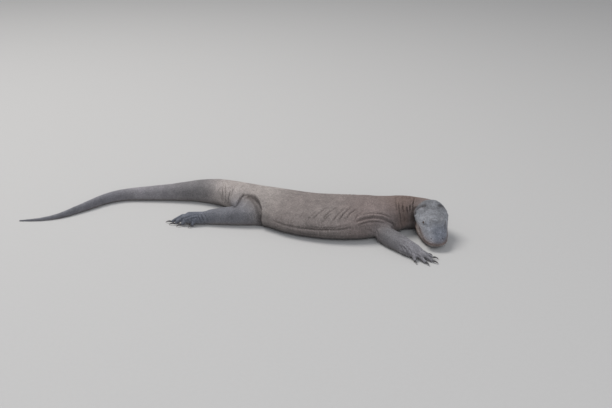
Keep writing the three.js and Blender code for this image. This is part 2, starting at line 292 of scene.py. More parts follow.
# The skin lies this far inside the solids, under the scales.
COAT_DEPTH = 1.2 * MM
VOXEL = 6.1 * MM
THIN_SWELLING = 4 * MM
FLOOR_CLEARANCE = 0.5 * MM

# Nodes that are smoothed less than the body, with their rounds; head and paws then go back to the solids.
HEAD_NODES = ("head", "lower_jaw")
PAW_NODES = ("hand", "foot", "tail_tip")
LIMB_NODES = ("forearm", "shin", "tail_end")
FIRST_ROUNDS = 4.0
BODY_ROUNDS = 170
LIMB_ROUNDS = 50
HEAD_ROUNDS = 8
PAW_ROUNDS = 3
SOFTENING = 12
FIT = 0.8
FITTED_HEAD_ROUNDS = 10
FITTED_PAW_ROUNDS = 6

# The mesh is made finer where so much of a fold is left, and so near an eye.
FINE_FOLD = 0.2
FINE_EYE = 22 * MM

# Unevenness of the body: height, and waves for each metre.
BUMPS = 1.4 * MM
BUMP_WAVES = 14


def remeshed(points, triangles, voxel):
    """One closed quad mesh round all the solids."""
    mesh = bpy.data.meshes.new("solids")
    mesh.from_pydata(points.tolist(), [], triangles.tolist())
    solids = bpy.data.objects.new("solids", mesh)
    bpy.context.scene.collection.objects.link(solids)
    modifier = solids.modifiers.new("remesh", "REMESH")
    modifier.mode = "VOXEL"
    modifier.voxel_size = voxel
    made = solids.evaluated_get(bpy.context.evaluated_depsgraph_get())
    result = bpy.data.meshes.new_from_object(made)
    bpy.data.objects.remove(solids)
    return result


def nearest_nodes(points, tree, owners):
    """The number in FLESH of the node nearest to each point."""
    found = [tree.find_nearest(point)[2] for point in points]
    return owners[np.array(found)]


def shares_of(owner, neighbours, names, rounds=6):
    """How much each point belongs to the nodes whose names start so, from 0 to 1, with a soft edge."""
    wanted = [number for number, name in enumerate(FLESH) if name.startswith(names)]
    return neighbours.diffused(np.isin(owner, wanted).astype(float), rounds)


def refine(mesh, chosen):
    """Splits in four each face whose corners are all chosen."""
    work = bmesh.new()
    work.from_mesh(mesh)
    work.verts.ensure_lookup_table()
    edges = [edge for edge in work.edges if chosen[edge.verts[0].index] and chosen[edge.verts[1].index]]
    bmesh.ops.subdivide_edges(work, edges=edges, cuts=1, use_grid_fill=True)
    work.to_mesh(mesh)
    work.free()


def seen_points(tree, pixels):
    """Where the camera's rays through these pixels of the photograph meet the skin."""
    hits = [tree.ray_cast(CAMERA_PLACE, photo_ray(x, y))[0] for x, y in pixels]
    return [hit for hit in hits if hit is not None]


def other_side(path, spine, tree):
    """The path on the body's other side: mirrored in the upright plane of the nearest stretch of spine."""
    mirrored = []
    for point in path:
        index = int(np.argmin(np.linalg.norm(spine - np.array(point), axis=1)))
        index = min(max(index, 1), len(spine) - 2)
        along = Vector(spine[index + 1] - spine[index - 1])
        side = along.cross(Vector((0, 0, 1))).normalized()
        offset = Vector(point) - Vector(spine[index])
        mirrored.append(tree.find_nearest(Vector(point) - 2 * offset.dot(side) * side)[0])
    return mirrored


# A fold's reach in widths of its groove, and its lips: height in depths, place and width in widths.
FOLD_REACH = 4
FOLD_LIPS = [(0.45, 1.9, 0.8)]


def fold(points, path, depth, width):
    """How far a fold moves each point out: a groove that fades at the path's ends, between soft lips."""
    lowest = np.min(path, axis=0) - FOLD_REACH * width
    highest = np.max(path, axis=0) + FOLD_REACH * width
    near = np.flatnonzero(((points > lowest) & (points < highest)).all(1))
    moved = np.zeros(len(points))
    if not len(near):
        return moved
    distance, along = path_distance(points[near], path)
    ratio = distance / width
    fade = np.sqrt(np.clip(4 * along * (1 - along), 0, 1))
    moved[near] = depth * fade * (bells(ratio, FOLD_LIPS) - np.exp(-ratio ** 2))
    return moved


# Folds that the photograph shows: depth and width in millimetres, then the pixels along each.
BELLY_FOLDS = [
    (4.6, 5, [(272, 220.5), (282, 224.4), (295, 227.4), (315, 229.6), (338, 229.8), (352, 227.4)]),
    (2.4, 4, [(300, 226), (318, 227.6), (336, 227.6), (349, 225)]),
    (1.5, 4, [(284, 229), (300, 233), (320, 235.5), (345, 236.4), (362, 236)]),
]
FLANK_FOLDS = [
    (2.4, 4, [(363, 211), (357, 216.5), (353, 222.5)]),
    (3.0, 4, [(357.5, 208.5), (350.8, 213), (344, 221.5)]),
    (3.4, 4, [(351, 206.5), (344.5, 213), (338, 222)]),
    (2.6, 4, [(345.5, 207), (338.5, 214), (331.5, 222.5)]),
    (2.8, 4, [(338, 206.5), (330, 211.5), (322.5, 219.5)]),
    (2.0, 4, [(333, 212.5), (326.5, 217.5), (320.5, 224)]),
    (2.2, 4, [(326, 208), (319, 213), (312.5, 220)]),
    (1.6, 4, [(317, 211), (311, 216), (306, 222)]),
    (1.4, 4, [(309, 209), (303, 213.5), (298, 219.5)]),
    (1.2, 4, [(299, 213), (294, 217), (290, 222)]),
]
SHOULDER_FOLDS = [
    (6.0, 6, [(354, 222.5), (364, 218.8), (373.5, 217.4), (382, 218.6), (389.5, 221.6), (396, 227)]),
    (3.6, 4, [(358, 225.2), (367, 222.2), (376, 221.4), (384, 223)]),
    (2.4, 4, [(362, 214.6), (372, 213), (382, 214), (391, 217.5)]),
    (2.5, 5, [(369, 229), (373, 233), (375, 238)]),
    (2.5, 5, [(374, 226.5), (377.5, 232), (379, 237.5)]),
    (2.6, 4, [(381, 227), (386, 226.2), (391.5, 229)]),
    (2.2, 4, [(383, 231), (388, 230.4), (392.6, 233)]),
]
HIP_FOLDS = [
    (2.4, 4, [(222.6, 185.5), (222.6, 194), (223, 203)]),
    (3.0, 4, [(225.3, 184.5), (225.6, 194), (226.2, 203.5)]),
    (4.4, 5, [(230.4, 190), (228.8, 196), (228.6, 204)]),
    (2.0, 4, [(235, 187.5), (232.6, 191), (231, 196)]),
    (10.0, 6, [(243, 195.4), (240.8, 198), (239, 201.4), (237, 204.6), (234.6, 206.6)]),
    (3.5, 5, [(240.6, 197.4), (245, 195.2), (250.4, 196.4)]),
]
KNEE_FOLDS = [
    (17.0, 11, [(248, 196.4), (253, 198.4), (257, 203.4), (259.2, 209.5), (260, 215)]),
]
PAW_FOLDS = [
    (2.6, 3, [(197.5, 213.8), (199, 218), (201.5, 223)]),
    (3.0, 3, [(200.6, 213.6), (202.6, 218), (205, 223.4)]),
    (2.4, 3, [(204, 213.4), (206.2, 218), (208.4, 222.6)]),
    (2.2, 3, [(196, 214.6), (188, 216.8), (181.5, 219)]),
    (2.2, 3, [(197.4, 217), (190, 219.4), (184, 221.6)]),
    (2.6, 3, [(402.6, 246), (406, 250.4), (409, 255.4)]),
    (2.4, 3, [(406, 245), (409.4, 249.4), (412.2, 254)]),
    (1.8, 3, [(398.6, 243.6), (401.4, 248), (404, 252)]),
    (2.0, 3, [(415, 249), (419, 251.4), (423.4, 253.4)]),
    (2.0, 3, [(413.4, 252), (417.4, 255), (421.4, 257.4)]),
]
NECK_FOLDS = [
    (2.4, 4, [(395.5, 197.5), (396.5, 207), (398, 219)]),
    (3.0, 4, [(398.5, 203), (399.6, 212), (401, 222), (402, 229)]),
    (3.2, 4, [(402, 197), (403, 208), (404.4, 221), (406, 231)]),
    (4.0, 4, [(406.4, 196.7), (407, 209), (408, 223), (409, 231)]),
    (4.2, 4, [(410.2, 197), (410, 208), (410.4, 222)]),
    (4.6, 4, [(414.6, 197.5), (413.2, 204), (412.6, 212), (413.4, 222)]),
]
HEAD_FOLDS = [
    (3.0, 4, [(429.5, 219.6), (431.5, 220.2), (434.5, 221.2), (439, 223)]),
    (1.6, 3, [(421.5, 226.6), (424.5, 227.4), (428, 226.2)]),
    (1.4, 3, [(419.8, 213), (419, 219), (420, 225)]),
]
TRUNK_FOLDS = [*BELLY_FOLDS, *FLANK_FOLDS, *SHOULDER_FOLDS]
SEEN_FOLDS = [*TRUNK_FOLDS, *HIP_FOLDS, *KNEE_FOLDS, *PAW_FOLDS, *NECK_FOLDS, *HEAD_FOLDS]

# Those that the hidden side has too, a little less deep; and how far the knee's fold goes on under the floor.
MIRRORED_FOLDS = [*BELLY_FOLDS, *FLANK_FOLDS, *SHOULDER_FOLDS[:3], *HIP_FOLDS[:3]]
MIRRORED_DEPTH = 0.8
UNDER_FLOOR = Vector((0, 0, 0.09))

# Folds of both sides of the head, in millimetres of its frame: depth, width, then forward, out and up.
NAPE_PATH = [
    (18, 34, 40), (10, 50, 26), (14, 66, 8), (26, 74, -12), (36, 74, -34), (44, 68, -56), (60, 60, -84),
]
COLLAR_PATH = [(0, 40, 38), (-8, 58, 24), (-4, 76, 4), (8, 84, -16), (18, 84, -40), (24, 78, -64)]
SIDE_FOLDS = [(8.0, 6, NAPE_PATH), (3.0, 5, COLLAR_PATH)]


def all_folds(tree, spine):
    """Every fold as depth, width and path on the skin, the hidden side's among them."""
    folds = []
    for depth, width, pixels in SEEN_FOLDS:
        path = seen_points(tree, pixels)
        if (depth, width, pixels) in KNEE_FOLDS:
            path.append(path[-1] - UNDER_FLOOR)
        folds.append((depth * MM, width * MM, path))
        if (depth, width, pixels) in MIRRORED_FOLDS:
            folds.append((MIRRORED_DEPTH * depth * MM, width * MM, other_side(path, spine, tree)))
    for depth, width, path in SIDE_FOLDS:
        for side in (-1, 1):
            ring = from_head(np.array([(forward, side * out, up) for forward, out, up in path]) * MM)
            folds.append((depth * MM, width * MM, [tree.find_nearest(Vector(place))[0] for place in ring]))
    return folds


# Head features, in millimetres of the head's frame: forward, out and up.
MOUTH_LINE = [(66, -21), (74, -17), (92, -13), (131, -10), (174, -5), (205, 1), (218, 2)]
MOUTH_CORNER = (70, 84)
MOUTH_SHAPES = [(-2.6, 0, 1.7), (1.5, 5, 2.8), (0.8, -5, 2.6)]
NOSTRIL = (196, 25, 19)
EAR = (33, 70, 2)

# Each hole of the head: place, radius, depth, how strong the painted shade inside it is, and how far that
# painted shade reaches.
HOLES = [(NOSTRIL, 3.2, 4, 1.4, 3), (EAR, 7, 6, 1.2, 6)]

# A hole's rim: height in depths, place and width in radii.
PIT_RIM = [(0.3, 1.5, 0.45)]

# The lids' opening along and across, their thickness, their rim and the crease round it (height, then place
# and width in openings), where they turn into skin, and how far behind the ball's front the opening goes.
EYE_OPENING = (7.6, 5.0)
LID_THICK = 1.0
LID_SHAPES = [(0.9 * MM, 1.2, 0.22), (-0.9 * MM, 1.95, 0.25)]
LID_REACH = (8 * MM, 17 * MM)
BEHIND_BALL = 2.6

# Ridges (up) and hollows (down) of the face: height and width, then forward, out and up along each.
FACE_RELIEF = [
    (4.2, 7, [(122, 32, 36), (106, 38, 42), (84, 43, 42), (70, 46, 38)]),
    (2.6, 7, [(128, 32, 34), (150, 29, 32), (172, 26, 28), (186, 23, 26)]),
    (-3.0, 8, [(118, 41, 18), (134, 39, 16), (152, 36, 13)]),
    (-1.6, 8, [(84, 50, 8), (98, 48, 5), (114, 46, 5)]),
    (2.0, 11, [(84, 56, 18), (64, 63, 14), (44, 68, 6)]),
    (-1.8, 10, [(94, 20, 47), (70, 22, 50), (48, 24, 50)]),
    (1.6, 9, [(120, 0, 42), (150, 0, 38), (176, 0, 33)]),
]


def face_relief(head):
    """The brows, the ridges from them to the nostrils, the cheeks, and the hollows round the eyes."""
    moved = np.zeros(len(head))
    mirrored = np.column_stack([head[:, 0], np.abs(head[:, 1]), head[:, 2]]) / MM
    for height, width, path in FACE_RELIEF:
        distance, along = path_distance(mirrored, path)
        fade = np.sqrt(np.clip(4 * along * (1 - along) + 0.15, 0, 1))
        moved += height * MM * fade * np.exp(-(distance / width) ** 2)
    return moved


def above_mouth(skull):
    """How far each point of the head is above the line of the mouth, all in millimetres."""
    return skull[:, 2] - np.interp(skull[:, 0], [f for f, _ in MOUTH_LINE], [u for _, u in MOUTH_LINE])


def mouth_relief(head):
    """The slit between the jaws, with a full lip above it and a thinner one below."""
    skull = head / MM
    return MM * smoothstep(skull[:, 0], *MOUTH_CORNER) * bells(above_mouth(skull), MOUTH_SHAPES)


def head_holes():
    """The holes of both sides of the head, in metres of its frame."""
    for side in (-1, 1):
        for (forward, out, up), radius, depth, painted_inner_shade, reach in HOLES:
            yield np.array((forward, side * out, up)) * MM, radius * MM, depth * MM, painted_inner_shade, reach * MM


def pit(points, place, radius, depth):
    """A round hole with a low rim."""
    ratio = np.linalg.norm(points - place, axis=1) / radius
    return depth * (bells(ratio, PIT_RIM) - np.exp(-ratio ** 4))


def eye_frame(name, points, normals):
    """An eye's middle and radius, the way it looks, and its opening's long and short directions."""
    low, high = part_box(name)
    middle = centre(name)
    radius = (high - low).x / 2
    around = np.linalg.norm(points - middle, axis=1) < 1.6 * radius
    outward = unit(normals[around].mean(0))
    long = unit(np.array(HEAD_FORWARD) - outward * (np.array(HEAD_FORWARD) @ outward))
    return middle, radius, outward, long, np.cross(outward, long)


def shape_lids(points, eye):
    """Lays the skin over the eyeball as lids, and takes it behind the ball inside their opening."""
    middle, radius, outward, long, short = eye
    offset = points - middle
    across, along, out = offset @ short, offset @ long, offset @ outward
    spread = np.hypot(across, along)
    near = (spread < LID_REACH[1]) & (out > -0.3 * radius)
    ball = np.sqrt(np.clip(radius ** 2 - spread ** 2, 0, None))
    opening = np.hypot(along / EYE_OPENING[0], across / EYE_OPENING[1]) / MM
    lid = bells(opening, LID_SHAPES, ball + LID_THICK * MM)
    wanted = np.where(opening < 1, ball - BEHIND_BALL * MM, lid)
    moved = near * (1 - smoothstep(spread, *LID_REACH)) * (wanted - out)
    return points + moved[:, None] * outward


def body_noise(points, scale):
    """Smooth noise from -1 to 1 at each point."""
    return np.array([noise.noise(Vector(point)) for point in points * scale])


def round_off(mesh, solid_tree, owners, spine):
    """Smooths the mesh of the solids, less on limbs, head and paws, and makes it finer where detail comes.
    Returns the folds, whose paths lie on it."""
    neighbours = Neighbours(mesh)
    points = neighbours.smoothed(coordinates(mesh), np.full(neighbours.count, FIRST_ROUNDS))
    owner = nearest_nodes(points, solid_tree, owners)
    head = shares_of(owner, neighbours, HEAD_NODES)
    paw = shares_of(owner, neighbours, PAW_NODES)
    limb = shares_of(owner, neighbours, LIMB_NODES)
    body = 1 - np.clip(head + paw + limb, 0, 1)
    rounds = BODY_ROUNDS * body + LIMB_ROUNDS * limb + HEAD_ROUNDS * head + PAW_ROUNDS * paw
    points = neighbours.smoothed(points, neighbours.diffused(rounds, SOFTENING))
    set_coordinates(mesh, points)
    neck = shares_of(owner, neighbours, ("neck",), 3)
    folds = all_folds(tree_of(points, triangles_of(mesh)), spine)
    creased = np.zeros(neighbours.count)
    for depth, width, path in folds:
        creased = np.maximum(creased, np.abs(fold(points, path, 1, width)))
    refine(mesh, (head + paw + neck > 0.5) | (creased > FINE_FOLD))
    for name in EYES:
        refine(mesh, np.linalg.norm(coordinates(mesh) - centre(name), axis=1) < FINE_EYE)
    return folds


def fitted(points, solid_tree, neighbours, head, paw):
    """The points of head and paws brought back to the solids, which the smoothing has shrunk."""
    hits = [solid_tree.find_nearest(point) for point in points]
    on_solid = np.array([hit[0] for hit in hits]) - COAT_DEPTH * np.array([hit[1] for hit in hits])
    points += (FIT * np.clip(head + paw, 0, 1))[:, None] * (on_solid - points)
    return neighbours.smoothed(points, FITTED_HEAD_ROUNDS * head + FITTED_PAW_ROUNDS * paw)


def painted_shade_and_highlight(points, in_skull, folds):
    """Painted shade by how deep in a fold or a hole each point lies, with more round deep folds, and painted
    highlight by how far up on a fold's lips, from 0 to about 1.
    """
    hidden, painted_highlight = np.zeros(len(points)), np.zeros(len(points))
    for depth, width, path in folds:
        # Painted shade in each groove, and painted highlight on its raised lips.
        raised = fold(points, path, min(1, depth / FULL_FOLD), width)
        hidden = np.maximum(hidden, -raised)
        painted_highlight = np.maximum(painted_highlight, raised)
        # Painted shade that spreads round deep folds, such as the knee's.
        if depth > DEEP_FOLD:
            distance = path_distance(points, path)[0]
            hidden = np.maximum(hidden, np.exp(-(distance / (DEEP_SPREAD * width)) ** 2))
    # Painted shade inside nostrils and ears.
    for place, _, _, painted_inner_shade, reach in head_holes():
        distance = np.linalg.norm(in_skull - place, axis=1)
        hidden = np.maximum(hidden, painted_inner_shade * np.exp(-(distance / reach) ** 4))
    return hidden, painted_highlight


def make_skin(spine):
    """The skin with its folds, as an object, and what the coat needs to know of it."""
    solid_points, solid_triangles, owners = joined_solids(False)
    solid_tree = tree_of(solid_points, solid_triangles)
    mesh = remeshed(joined_solids(True)[0], solid_triangles, VOXEL)
    folds = round_off(mesh, solid_tree, owners, spine)

    neighbours = Neighbours(mesh)
    points = coordinates(mesh)
    owner = nearest_nodes(points, solid_tree, owners)
    head = shares_of(owner, neighbours, HEAD_NODES, 4)
    paw = shares_of(owner, neighbours, (*PAW_NODES, "tail_end"), 4)
    points = fitted(points, solid_tree, neighbours, head, paw)
    set_coordinates(mesh, points)
    normals = vertex_normals(mesh)
    points -= (COAT_DEPTH * (1 - np.clip(head + paw, 0, 1)))[:, None] * normals

    moved = sum(fold(points, path, depth, width) for depth, width, path in folds)
    moved += BUMPS * body_noise(points, BUMP_WAVES) * (1 - head) * (1 - paw)
    in_skull = in_head(points)
    moved += head * (mouth_relief(in_skull) + face_relief(in_skull))
    for place, radius, depth, _, _ in head_holes():
        moved += pit(in_skull, place, radius, depth)
    points += moved[:, None] * normals
    eyes = {name: eye_frame(name, points, normals) for name in EYES}
    for eye in eyes.values():
        points = shape_lids(points, eye)
    points[:, 2] = np.maximum(points[:, 2], FLOOR_CLEARANCE)
    set_coordinates(mesh, points)

    fields = describe(mesh, owner, spine, painted_shade_and_highlight(points, in_skull, folds), eyes)
    skin = add_piece("skin", mesh, fields.tint, hide_material("skin_hide", False))
    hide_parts(*FLESH)
    return skin, fields


def add_piece(name, mesh, tint, material):
    """A smooth-shaded piece of the animal that carries its colours as the attribute tint."""
    colours = mesh.color_attributes.new("tint", "FLOAT_COLOR", "POINT")
    colours.data.foreach_set("color", np.column_stack([tint, np.ones(len(tint))]).astype(np.float32).ravel())
    mesh.polygons.foreach_set("use_smooth", np.ones(len(mesh.polygons), bool))
    mesh.materials.append(material)
    mesh.update()
    piece = bpy.data.objects.new(name, mesh)
    bpy.context.scene.collection.objects.link(piece)
    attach(piece, "root")
    return piece


# ---------------------------------------------------------------- markings, painted light and shade, and lie, point by point

# Colours of the hide before any light falls on it, as sRGB from 0 to 255, except the snout's, which is
# painted shade with a bluish sky reflection; and the factor of painted shade in creases and holes.
NODE_COLOURS = {
    "tail_tip": (108, 108, 113), "tail_end": (114, 113, 118), "tail_middle": (128, 125, 128),
    "tail_front": (112, 109, 110), "tail_base": (160, 152, 148), "pelvis": (142, 135, 131),
    "belly": (120, 112, 109), "chest": (117, 106, 103), "neck": (109, 94, 88),
    "head": (126, 127, 131), "lower_jaw": (130, 126, 124),
    "upper_arm": (90, 85, 86), "forearm": (108, 106, 108), "hand": (126, 124, 128),
    "thigh": (92, 91, 96), "shin": (108, 108, 113), "foot": (97, 100, 109),
}
SNOUT_SHADE_COLOUR = (106, 110, 120)
LIP_COLOUR = (88, 70, 64)
UNDERSIDE_COLOUR = (110, 105, 103)
CREASE_SHADE = (0.34, 0.31, 0.30)

# Where markings and painted light begin and are full, in millimetres of the head's frame: the snout's painted
# shade, lips, throat, the painted light on the right cheek, and the painted shadow behind the nape.
SNOUT_FORWARD = (95, 170)
SNOUT_HEIGHT = (2, 14)
LIPS_FORWARD = (70, 110)
LIPS_BELOW = 5
LIPS_SPREAD = 16
THROAT_DEPTH = (26, 60)
CHEEK_FORWARD = (30, 80)
CHEEK_OUT = (0, 30)
NAPE_SPREAD = 30

# How strong they are, and the shades: dust with painted top light, painted light on the head's sides and
# right cheek, painted highlights on lids and lips of folds, and painted shade near the ground and behind the
# nape.
SNOUT_SHADE_SHARE = (0.85, 0.55)
LIPS_SHARE = 0.85
PLAIN_SHADE = 0.86
DUST_AND_TOP_LIGHT = 0.26
PAINTED_HEAD_LIGHT = (0.38, 0.60)
HEAD_MOTTLE = 0.17
PAINTED_CHEEK_LIGHT = 0.26
LID_HIGHLIGHT = 0.5
RIDGE_HIGHLIGHT = 0.10
LOW_SHADE = 0.62
LOW_HEIGHTS = (5 * MM, 60 * MM)
NAPE_SHADE = 0.55

# Mottling of the whole hide: strength and waves for each metre; the head has finer waves too.
MOTTLING = [(0.10, 9), (0.08, 34)]
HEAD_WAVES = (34, 75)

# Folds deeper than this get painted shade over this many of their widths; from this depth on, a groove gets
# full painted shade and its lips full painted highlight.
DEEP_FOLD = 7.5 * MM
DEEP_SPREAD = 1.6
FULL_FOLD = 4 * MM

# Bare of scales: round the nostrils in millimetres, in the lids' opening, and the tail's very tip.
BARE_NOSTRIL = 3.2
BARE_EYE = 1.12
BARE_TIP = 5 * MM

# Scales are smaller by so much round the eyes and at the tail's tip.
EYE_SHRINK = 0.42
EYE_REACH = (10 * MM, 24 * MM)
TIP_SHRINK = 0.45
TIP_TAPER = 120 * MM

# The painted highlight round the upper lids, as a rim in openings, and how far the colours of nodes run into
# each other.
LID_HIGHLIGHT_RIM = [(1, 1.5, 0.4)]
HEAD_BLEND = 60
BODY_BLEND = 300

# Sizes of scales in millimetres, and the part of a limb that follows each.
SCALE_SIZES = {
    "tail_tip": 4.2, "tail_end": 4.8, "tail_middle": 5.4, "tail_front": 5.8, "tail_base": 6.0, "pelvis": 6.0,
    "belly": 6.2, "chest": 5.8, "neck": 5.0, "head": 4.0, "lower_jaw": 4.0,
    "upper_arm": 5.0, "forearm": 4.8, "hand": 3.6, "thigh": 5.4, "shin": 5.0, "foot": 3.8,
}
NEXT_PIECE = {"upper_arm": "forearm", "forearm": "hand", "thigh": "shin", "shin": "foot"}


def linear(colour):
    """sRGB from 0 to 255 as linear light."""
    share = np.array(colour, float) / 255
    return np.where(share <= 0.04045, share / 12.92, ((share + 0.055) / 1.055) ** 2.4)


def split_name(name):
    """A node's part of the body and its side: hand_right is hand and right, tail_tip has no side."""
    kind, _, side = name.rpartition("_")
    return (kind, side) if side in ("left", "right") else (name, "")


KINDS = np.array([split_name(name)[0] for name in FLESH])
BODY_SIDES = np.array([split_name(name)[1] for name in FLESH])
POINTS_AT_ONCE = 4000


def nearest_on_line(points, line):
    """For each point the number of the nearest place on the line."""
    parts = np.array_split(points, max(1, len(points) // POINTS_AT_ONCE))
    return np.concatenate([np.argmin(((part[:, None] - line) ** 2).sum(-1), 1) for part in parts])


def lie_of(points, owner, spine):
    """The way that scales point: from the snout to the tail, and down the limbs to the toes."""
    lie = np.zeros_like(points)
    tangents = unit(np.gradient(spine, axis=0))
    for number, name in enumerate(FLESH):
        own = np.flatnonzero(owner == number)
        kind, side = split_name(name)
        if kind in HEAD_NODES:
            lie[own] = -np.array(HEAD_FORWARD)
        elif kind in NEXT_PIECE:
            lie[own] = unit(centre(f"{NEXT_PIECE[kind]}_{side}") - centre(name))
        elif kind in ("hand", "foot"):
            claws = np.array([centre(f"{name}_claw_{toe}") for toe in range(1, 6)])
            lie[own] = unit(claws - centre(name))[nearest_on_line(points[own], claws)]
        else:
            lie[own] = -tangents[nearest_on_line(points[own], spine)]
    return lie


def describe(mesh, owner, spine, shades, eyes):
    """Everything that coat and colours need, at each point of the skin."""
    points, normals = coordinates(mesh), vertex_normals(mesh)
    neighbours = Neighbours(mesh)
    skull = in_head(points) / MM
    is_head = shares_of(owner, neighbours, HEAD_NODES, 4)
    lie = neighbours.diffused(lie_of(points, owner, spine), 15)

    size = neighbours.diffused(np.array([SCALE_SIZES[kind] for kind in KINDS])[owner] * MM, 8)
    near_eye = np.min([np.linalg.norm(points - centre(name), axis=1) for name in EYES], 0)
    size *= 1 - EYE_SHRINK * (1 - smoothstep(near_eye, *EYE_REACH))
    from_tip = np.linalg.norm(points - spine[0], axis=1)
    size *= 1 - TIP_SHRINK + TIP_SHRINK * smoothstep(from_tip, 0, TIP_TAPER)

    bare = from_tip < BARE_TIP
    for side in (-1, 1):
        bare |= np.linalg.norm(skull - (NOSTRIL[0], side * NOSTRIL[1], NOSTRIL[2]), axis=1) < BARE_NOSTRIL
    lid = np.zeros(len(points))
    for middle, _, outward, long, short in eyes.values():
        offset = (points - middle) / MM
        opening = np.hypot(offset @ long / EYE_OPENING[0], offset @ short / EYE_OPENING[1])
        bare |= (opening < BARE_EYE) & (offset @ outward > 0)
        # Painted highlight on the upper lid, round the opening.
        upper = smoothstep(offset @ np.array(HEAD_UP), 0, 5) * (offset @ outward > 0)
        lid = np.maximum(lid, upper * bells(opening, LID_HIGHLIGHT_RIM))

    fields = SimpleNamespace(points=points, normals=normals, owner=owner, size=size, bare=bare, eyes=eyes)
    fields.lie = unit(lie - (lie * normals).sum(1, keepdims=True) * normals)
    fields.tint = tints(fields, neighbours, skull, is_head, lid, *shades)
    return fields


def base_colours(fields, neighbours, skull, is_head, lit_cheek):
    """The colour of each part of the body, softly joined, with the snout's painted shade and sky reflection,
    lips, throat and underside.
    """
    base = np.array([linear(NODE_COLOURS[kind]) for kind in KINDS])[fields.owner]
    near_head = np.clip(8 * neighbours.diffused(is_head, HEAD_BLEND), 0, 1)[:, None]
    close = neighbours.diffused(base, HEAD_BLEND)
    base = near_head * close + (1 - near_head) * neighbours.diffused(close, BODY_BLEND)
    forward, _, height = skull.T
    # Painted shade with a bluish sky reflection over the upper snout, weaker on the lit right cheek.
    snout = is_head * smoothstep(forward, *SNOUT_FORWARD) * smoothstep(height, *SNOUT_HEIGHT)
    lips = np.exp(-((above_mouth(skull) + LIPS_BELOW) / LIPS_SPREAD) ** 2)
    lips *= is_head * smoothstep(forward, *LIPS_FORWARD)
    layers = [
        (snout * (SNOUT_SHADE_SHARE[0] - SNOUT_SHADE_SHARE[1] * lit_cheek), SNOUT_SHADE_COLOUR),
        (LIPS_SHARE * lips, LIP_COLOUR),
        (is_head * smoothstep(-height, *THROAT_DEPTH), NODE_COLOURS["neck"]),
        (smoothstep(-fields.normals[:, 2], 0.1, 0.8), UNDERSIDE_COLOUR),
    ]
    for share, colour in layers:
        base += share[:, None] * (linear(colour) - base)
    return base


def tints(fields, neighbours, skull, is_head, lid, hidden, painted_highlight):
    """The hide's colour at each point: its part of the body, dust with painted top light, painted light on
    the head, painted highlights on lids and lips of folds, painted shade in folds and holes, near the ground
    and behind the nape, and mottling.
    """
    forward, side, height = skull.T
    # Painted light on the head's right cheek, the side that faces the light.
    lit_cheek = is_head * smoothstep(-side, *CHEEK_OUT) * smoothstep(forward, *CHEEK_FORWARD)
    base = base_colours(fields, neighbours, skull, is_head, lit_cheek)
    # Upward faces lighter: dust on top, and painted top light.
    dust_and_top_light = smoothstep(fields.normals[:, 2], 0.1, 0.95)
    shade = PLAIN_SHADE + DUST_AND_TOP_LIGHT * dust_and_top_light
    for strength, waves in MOTTLING:
        shade += strength * body_noise(fields.points, waves)
    shade += is_head * HEAD_MOTTLE * sum(body_noise(fields.points, waves) for waves in HEAD_WAVES)
    # Painted light: the head's sides lighter and its top darker, and more light on the right cheek.
    shade += is_head * (PAINTED_HEAD_LIGHT[0] - PAINTED_HEAD_LIGHT[1] * dust_and_top_light) + PAINTED_CHEEK_LIGHT * lit_cheek
    # Painted highlights on the upper lids and on the lips of folds.
    shade += LID_HIGHLIGHT * lid + RIDGE_HIGHLIGHT * np.clip(painted_highlight, 0, 1)
    # Painted shade on the trunk, neck and throat near the ground.
    throat = is_head * smoothstep(-height, *THROAT_DEPTH)
    trunk = np.maximum(throat, shares_of(fields.owner, neighbours, ("belly", "chest", "neck", "pelvis"), 10))
    shade *= 1 - LOW_SHADE * trunk * (1 - smoothstep(fields.points[:, 2], *LOW_HEIGHTS))
    # Painted shadow on the neck just behind the head.
    behind = path_distance(np.column_stack([forward, np.abs(side), height]), NAPE_PATH)[0]
    neck = shares_of(fields.owner, neighbours, ("neck",), 4)
    shade *= 1 - NAPE_SHADE * neck * np.exp(-(behind / NAPE_SPREAD) ** 2)
    # Painted shade in folds, round deep folds and inside holes.
    crease = np.clip(hidden, 0, 1.2)[:, None]
    return base * shade[:, None] * (1 - crease * (1 - np.array(CREASE_SHADE)))


# ---------------------------------------------------------------- coat of scales

SEED = 7

# Random places for each that is needed, and the rounds that spread them out; least gaps in sizes.
FILLINGS = [(5.0, 7), (4.0, 6)]
PACKING = 0.77
CLOSEST = 0.62
PUSH = 0.3
NEIGHBOUR_REACH = 1.45
SIZE_CHANGE = (0.85, 1.25)

# Rings: rays round the line, their reach in body and head, fewest hits, and the step in sizes.
RING_RAYS = 72
BODY_REACH = 0.26
HEAD_REACH = 0.12
FEWEST_HITS = 8
ROW_STEP = 0.87
RING_SIZES = ("tail_tip", "tail_middle", "tail_base", "belly", "chest", "neck")
RING_SHARES = (0, 0.25, 0.45, 0.68, 0.85, 1)

# How much the scales' colours differ on face and feet, and elsewhere.
SPECKLE = (0.17, 0.10)
PATCH = 0.003
UNWRAP_EDGE = 0.004

# A scale over a unit of size: outline and shoulder rings of so many sides, and a crown that leans back.
SIDES = 6
OUTLINE = (0.53, -0.14)
SHOULDER = (0.42, 0.10)
SHOULDER_LEAN = 0.02
CROWN = (0.06, 0.19)
STRETCH = 1.08
VERTICES_EACH = 2 * SIDES + 1

